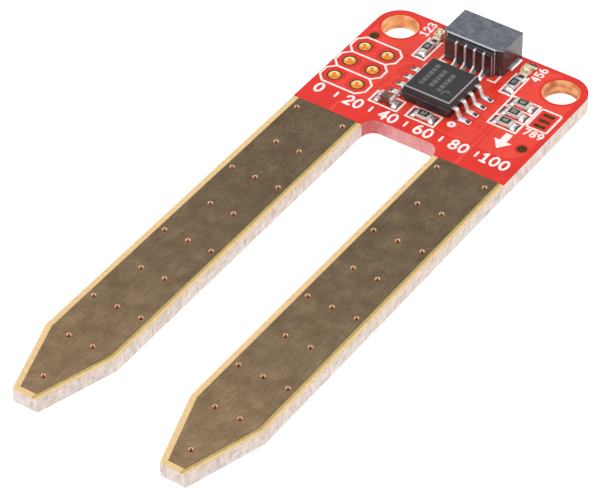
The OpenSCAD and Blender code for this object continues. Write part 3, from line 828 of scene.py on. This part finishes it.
def scale_outlines():
    """A moisture scale from 0 to 100 across the board, with a tick between each two numbers."""
    outlines = []
    height = 1.22
    pen = 0.25
    tick_pen = 0.22
    tick_gap = 0.3
    base_y = -12.36
    pitch = 0.84
    numbers = ["0", "20", "40", "60", "80", "100"]
    first_x = -10.1
    last_x = 9.05
    step = (last_x - first_x) / (len(numbers) - 1)
    centres = [first_x + i * step for i in range(len(numbers))]
    for text, x in zip(numbers, centres):
        width = ((len(text) - 1) * pitch + DIGIT_W) * height
        outlines += number(text, x - width / 2, base_y, height, pen, 0, pitch)
    for left, right in zip(centres, centres[1:]):
        x = (left + right) / 2
        outlines += ribbon([(x, base_y + tick_gap), (x, base_y + height - tick_gap)], tick_pen)
    return outlines


def small_numbers():
    """Counting numbers beside the lights and the jumper."""
    pen = 0.19
    outlines = number("123", -5.98, 0.05, 0.86, pen, 90)
    outlines += number("456", 6.35, 0.0, 0.86, pen, 90)
    outlines += number("789", 9.0, -7.0, 0.82, pen)
    return outlines


def arrow_outlines():
    """A plain arrow that points to the prongs, as its shaft and its head."""
    x, top, low = 8.15, -7.75, -10.05
    shaft, head, head_l = 0.36, 0.92, 1.15
    neck = low + head_l
    return [
        [(x - shaft, top), (x - shaft, neck), (x + shaft, neck), (x + shaft, top)],
        [(x - head, neck), (x, low), (x + head, neck)],
    ]


def printed_legend():
    lines = header_outlines() + part_outlines()
    words = scale_outlines() + small_numbers() + arrow_outlines()
    lead_1_mark = (2.98, -9.5)
    ring = [disc(*lead_1_mark, 0.42, 24)]
    edge = 0.06
    cuts = [disc(*lead_1_mark, 0.13, 16)]
    cuts.append(rectangle(board[1].x - edge, board[0].y, board[1].x + 1, back_y))
    cuts.append(rectangle(board[0].x - 1, board[0].y, board[0].x + edge, back_y))
    for boxes in (pads["controller_pads"], pads["chip_pads"], pads["jumper_strips"]):
        cuts += [grown(box, 0.04) for box in boxes]
    obj = slab("printed_legend", lines + words + ring, cuts, top_z - 0.01, top_z + INK)
    return finish_piece(obj, "white_ink", "white_ink")


def filled_holes():
    """Small holes that the mask has closed over, each a low ring with a dimple."""
    bm = bmesh.new()
    steps = 20
    rim_r = 0.36
    profile = [(rim_r, -0.01), (rim_r, 0)]
    profile += [(0.3, RELIEF + 0.02), (0.24, RELIEF + 0.024), (0.14, RELIEF + 0.006)]
    for x, y in ((9.85, -7.9), (9.7, -10.35), (7.05, -10.35), (5.2, -10.35)):
        rings = [ring_at(bm, x, y, radius, top_z + height, steps) for radius, height in profile]
        for lower, upper in zip(rings, rings[1:]):
            bridge(bm, lower, upper)
        bm.faces.new(rings[-1])
        bm.faces.new(list(reversed(rings[0])))
    obj = new_object("filled_holes", bm, smooth=True)
    return finish_piece(obj, "red_mask", "mask_on_copper")


# ---- solder


def mound(bm, pad, foot, climb, steps=14):
    """A solder fillet on a pad that climbs a foot's walls, as a height field with a flat base.

    pad and foot are (low, high) boxes in millimetres; the foot lies in the pad."""
    skin = 0.02
    corner = 2.4
    hollow = 1.6
    low, high = pad[0], pad[1]

    def height(x, y):
        reach = 0.0
        for value, foot_low, foot_high, pad_low, pad_high in (
            (x, foot[0].x, foot[1].x, low.x, high.x),
            (y, foot[0].y, foot[1].y, low.y, high.y),
        ):
            if value < foot_low:
                reach += ((foot_low - value) / max(foot_low - pad_low, 0.02)) ** corner
            elif value > foot_high:
                reach += ((value - foot_high) / max(pad_high - foot_high, 0.02)) ** corner
        share = min(1.0, reach) ** (1 / corner)
        return climb * (1 - share) ** hollow + skin * (1 - share ** 6)

    grid = []
    for i in range(steps + 1):
        row = []
        for j in range(steps + 1):
            x = low.x + (high.x - low.x) * i / steps
            y = low.y + (high.y - low.y) * j / steps
            row.append(bm.verts.new((x * MM, y * MM, (top_z + height(x, y)) * MM)))
        grid.append(row)
    for i in range(steps):
        for j in range(steps):
            bm.faces.new([grid[i][j], grid[i + 1][j], grid[i + 1][j + 1], grid[i][j + 1]])
    rim = [grid[i][0] for i in range(steps)] + [grid[steps][j] for j in range(steps)]
    rim += [grid[steps - i][steps] for i in range(steps)]
    rim += [grid[0][steps - j] for j in range(steps)]
    base = [bm.verts.new((v.co.x, v.co.y, (top_z - 0.01) * MM)) for v in rim]
    for i, vert in enumerate(rim):
        j = (i + 1) % len(rim)
        bm.faces.new([vert, base[i], base[j], rim[j]])
    bm.faces.new(base)


def overlap(pad, box):
    """The part of a box that lies over a pad, or None."""
    low = Vector((max(pad[0].x, box[0].x), max(pad[0].y, box[0].y), box[0].z))
    high = Vector((min(pad[1].x, box[1].x), min(pad[1].y, box[1].y), box[1].z))
    return (low, high) if low.x < high.x and low.y < high.y else None


def solder_piece(name, node, pad_boxes, feet, climb_of):
    """One piece with a mound on each pad that has a foot on it."""
    bm = bmesh.new()
    for pad in pad_boxes:
        for foot_box in feet:
            foot = overlap(pad, foot_box)
            if foot:
                mound(bm, *climb_of(pad, foot))
    obj = new_object(name, bm, smooth=True)
    return finish_piece(obj, "solder", "solder", node)


def lead_climb(pad, foot):
    """Takes only the outer stretch of a controller's lead as its foot."""
    toe_inside = 0.62
    rise = 0.15
    if middle(pad).x > middle(box_mm("controller_body")).x:
        low = Vector((foot[1].x - toe_inside, foot[0].y, foot[0].z))
        foot = (low, foot[1])
    else:
        high = Vector((foot[0].x + toe_inside, foot[1].y, foot[1].z))
        foot = (foot[0], high)
    inset = Vector((0.03, 0.03, 0))
    return (pad[0] + inset, pad[1] - inset), foot, rise


def chip_climb(pad, foot):
    """Keeps the mound on the outer side of a chip's terminal, narrower than the pad."""
    pad = (pad[0].copy(), pad[1].copy())
    foot = (foot[0].copy(), foot[1].copy())
    overlap_l = 0.04
    side_gap = 0.16
    highest = 0.34
    climb_share = 0.62
    along = 0 if foot[1].x - foot[0].x < foot[1].y - foot[0].y else 1
    if foot[0][along] - pad[0][along] < pad[1][along] - foot[1][along]:
        pad[0][along] = foot[0][along] = foot[1][along] - overlap_l
    else:
        pad[1][along] = foot[1][along] = foot[0][along] + overlap_l
    foot[0][1 - along] += side_gap
    foot[1][1 - along] -= side_gap
    return pad, foot, min(climb_share * (foot[1].z - top_z), highest)


def contact_climb(pad, foot):
    """Lets the solder climb a narrow contact further than a wide tab."""
    widest_contact = 0.25
    contact_rise = 0.2
    tab_rise = 0.12
    return pad, foot, contact_rise if foot[1].x - foot[0].x < widest_contact else tab_rise


# ---- plated holes


def turned(bm, x, y, profile, steps):
    """Turns a closed profile of (radius, height) points, in millimetres, about an upright axis."""
    rings = [ring_at(bm, x, y, radius, z, steps) for radius, z in profile]
    for lower, upper in zip(rings, rings[1:] + rings[:1]):
        bridge(bm, lower, upper)


def plated_holes(name, node, material, bore_r, rim_r, flange_r, steps):
    """Plated barrels with round rims, and a flat ring on both faces where flange_r is wider."""
    plating = 0.05
    bm = bmesh.new()
    for box in islands(node):
        high_z = box[1].z
        rim = arc(bore_r + rim_r, high_z - rim_r, rim_r, rim_r, 90, 180, 4)
        outside = [(bore_r + plating, high_z - plating)]
        if flange_r > bore_r + plating:
            outside += [(flange_r, high_z - plating), (flange_r, high_z)]
        upper = outside + rim
        profile = upper + [(radius, high_z - z + box[0].z) for radius, z in reversed(upper)]
        turned(bm, middle(box).x, middle(box).y, profile, steps)
    obj = new_object(name, bm, smooth=True)
    obj.data.set_sharp_from_angle(angle=math.radians(40))
    return finish_piece(obj, "bright_gold", material, node)


# ---- controller


def lead_frames():
    """Gull-wing leads, bent round a radius at the shoulder and at the heel."""
    thickness = 0.2
    bend_r = 0.2
    shoulder = 0.35
    foot_l = 0.65
    body = box_mm("controller_body")
    centre_x = middle(body).x
    bm = bmesh.new()
    for low, high in islands("controller_leads"):
        side = 1 if (low.x + high.x) / 2 > centre_x else -1
        wall = body[1].x if side > 0 else body[0].x
        inner = low.x if side > 0 else high.x
        toe = high.x if side > 0 else low.x
        y = (low.y + high.y) / 2
        half_w = (high.y - low.y) / 2
        upper_z = high.z - thickness / 2
        lower_z = low.z + thickness / 2
        corners = [
            (inner, upper_z), (wall + side * (shoulder - 0.03), upper_z),
            (toe - side * (foot_l + 0.03), lower_z), (toe, lower_z),
        ]
        path = [Vector(corners[0])]
        for i in (1, 2):
            here, before, after = Vector(corners[i]), Vector(corners[i - 1]), Vector(corners[i + 1])
            come, leave = (before - here).normalized(), (after - here).normalized()
            reach = bend_r / math.tan(come.angle(leave) / 2)
            for step in range(7):
                share = step / 6
                a = here + come * reach * (1 - share)
                b = here + leave * reach * share
                path.append(a.lerp(b, share))
        path.append(Vector(corners[3]))
        sections = []
        for i, point in enumerate(path):
            ahead = path[min(i + 1, len(path) - 1)]
            behind = path[max(i - 1, 0)]
            along = (ahead - behind).normalized()
            across = Vector((-along.y, along.x))
            ring = []
            for du, dv in ((-1, -1), (-1, 1), (1, 1), (1, -1)):
                spot = point + across * dv * thickness / 2
                ring.append(bm.verts.new((spot.x * MM, (y + du * half_w) * MM, spot.y * MM)))
            sections.append(ring)
        for first, second in zip(sections, sections[1:]):
            bridge(bm, first, second)
        bm.faces.new(sections[0])
        bm.faces.new(sections[-1][::-1])
    obj = soften(new_object("controller_lead_frames", bm), 0.03, 2)
    return finish_piece(obj, "tin_plate", "tin_plate", "controller_leads")


def thin_print(name, outlines, crown_z, slot, material):
    """A printed coat a few micrometres thick on the top of a part."""
    obj = slab(name, outlines, [], crown_z - 0.004, crown_z + 0.003)
    return finish_piece(obj, slot, material)


def chip_marking():
    """Three faint rows of plain bars on top of the controller."""
    body = box_mm("controller_body")
    centre = middle(body)
    bars = []
    bar_w, gap = 0.46, 0.13
    long, short = 0.5, 0.36
    for x, first_y, lengths in (
        (-1.3, 1.75, (long, short, long, short, long, short)),
        (-0.32, 1.35, (short, long, short, long, short)),
        (0.66, 1.25, (long, long, short, long, short)),
    ):
        y = centre.y + first_y
        for length in lengths:
            low_x = centre.x + x - bar_w / 2
            bars.append(rectangle(low_x, y - length, low_x + bar_w, y))
            y -= length + gap
    return thin_print("controller_marking", bars, body[1].z, "chip_epoxy", "chip_marking")


def resistor_patches():
    """A plain paler patch in the middle of each resistor's glaze."""
    coats = islands("resistor_coats")
    share = 0.28
    outlines = []
    for box in coats:
        centre = middle(box)
        half = share * (box[1] - box[0])
        low, high = centre - half, centre + half
        outlines.append(rectangle(low.x, low.y, high.x, high.y))
    return thin_print("resistor_patches", outlines, coats[0][1].z, "resistor_glass", "resistor_patch")


# ---- pieces

mask_over_copper()
filled_holes()
printed_legend()
lead_frames()
chip_marking()
resistor_patches()
ring_r = (header_holes[0][1].x - header_holes[0][0].x) / 2
plated_holes("header_eyelets", "header_hole_eyelets", "bright_gold", 0.51, 0.09, ring_r, 48)
plated_holes("plated_barrels", "electrode_vias", "barrel_gold", 0.25, 0.05, 0, 24)

for piece_name, node_name, slot_name, edge in (
    ("controller_moulding", "controller_body", "chip_epoxy", 0.045),
    ("socket_moulding", "socket_housing", "socket_plastic", 0.05),
    ("socket_anchor_tabs", "socket_solder_tabs", "tin_plate", 0.03),
    ("power_light_lens", "power_led_lens", "led_lens", 0.14),
    ("status_light_lens", "status_led_lens", "led_lens", 0.14),
    ("resistor_end_caps", "resistor_terminals", "tin_plate", 0.02),
    ("resistor_glaze", "resistor_coats", "resistor_glass", 0.012),
    ("capacitor_block", "capacitor_body", "capacitor_ceramic", 0.04),
    ("capacitor_end_caps", "capacitor_terminals", "tin_plate", 0.02),
):
    piece = rounded_copy(piece_name, node_name, edge)
    finish_piece(piece, slot_name, slot_name, node_name)

blades = rounded_copy("socket_contact_blades", "socket_contacts", 0.03)
finish_piece(blades, "tin_plate", "contact_tin", "socket_contacts")
for led in ("power", "status"):
    piece = rounded_copy(led + "_light_terminals", led + "_led_terminals", 0.015)
    finish_piece(piece, "bright_gold", "light_end_gold", led + "_led_terminals")

solder_piece("controller_solder_joints", "controller_solder", pads["controller_pads"],
             islands("controller_leads"), lead_climb)
chip_feet = islands("resistor_terminals") + islands("capacitor_terminals")
chip_feet += islands("power_led_terminals") + islands("status_led_terminals")
solder_piece("chip_solder_joints", "chip_solder", pads["chip_pads"], chip_feet, chip_climb)
socket_feet = [(b[0], Vector((b[1].x, b[0].y + 0.74, b[1].z))) for b in islands("socket_contacts")]
socket_feet += islands("socket_solder_tabs")
solder_piece("socket_solder_joints", "socket_solder", pads["socket_pads"],
             socket_feet, contact_climb)

# ---- studio


def pale_floor():
    """A wide pale sheet well under the object, evenly lit, as on a light table."""
    drop = 0.03
    bm = bmesh.new()
    bmesh.ops.create_grid(bm, x_segments=8, y_segments=8, size=1.5)
    for vert in bm.verts:
        vert.co.z = -drop
    floor = new_object("floor", bm)
    finish = Finish("pale_paper", 0.9, Specular_IOR_Level=0.1, Emission_Strength=0.3)
    finish.shader.inputs["Emission Color"].default_value = (1, 1, 1, 1)
    drift = finish.noise(0.02, 2)
    finish.colour(finish.ramp(drift, (0.3, (252, 252, 252)), (0.7, (254, 254, 254))))
    floor.data.materials.append(finish.material)


def area_light(name, place, target, size, power):
    data = bpy.data.lights.new(name, "AREA")
    data.shape = "RECTANGLE"
    data.size, data.size_y = size
    data.energy = power
    light = bpy.data.objects.new(name, data)
    light.location = place
    light.rotation_mode = "QUATERNION"
    light.rotation_quaternion = (Vector(target) - Vector(place)).to_track_quat("-Z", "Y")
    bpy.context.scene.collection.objects.link(light)


def studio():
    world = bpy.data.worlds.new("studio")
    world.use_nodes = True
    background = world.node_tree.nodes["Background"]
    background.inputs["Color"].default_value = (1.0, 1.0, 1.0, 1)
    background.inputs["Strength"].default_value = 0.72
    bpy.context.scene.world = world
    middle_y = (board[0].y + board[1].y) / 2 * MM
    centre = Vector((0, middle_y, 0))
    area_light("overhead", centre + Vector((0, 0, 0.42)), centre, (0.34, 0.34), 0.75)
    area_light("front_left", centre + Vector((-0.21, -0.32, 0.28)), centre, (0.14, 0.14), 0.3)
    area_light("back_right", centre + Vector((0.33, 0.28, 0.22)), centre, (0.16, 0.16), 0.3)
    view = bpy.context.scene.view_settings
    view.view_transform = "Standard"
    view.look = "None"
    view.exposure = 0.0
    view.gamma = 1.0


def camera():
    """Looks down at the board from the front right, with the lens of a long studio shot."""
    heading = math.radians(35.854)
    elevation = math.radians(42.215)
    roll = math.radians(-1.427)
    distance = 263.86
    aim = Vector((1.120, -30.965, top_z))
    back = Vector((
        math.sin(heading) * math.cos(elevation),
        -math.cos(heading) * math.cos(elevation),
        math.sin(elevation),
    ))
    level = Vector((math.cos(heading), math.sin(heading), 0))
    up = back.cross(level)
    right = level * math.cos(roll) + up * math.sin(roll)
    data = bpy.data.cameras.new("camera")
    data.sensor_width = 36
    data.lens = 181.54
    data.clip_start = 0.01
    data.clip_end = 10
    cam = bpy.data.objects.new("camera", data)
    axes = Matrix((right, back.cross(right), back)).transposed().to_4x4()
    cam.matrix_world = Matrix.Translation((aim + back * distance) * MM) @ axes
    bpy.context.scene.collection.objects.link(cam)
    bpy.context.scene.camera = cam


pale_floor()
studio()
camera()
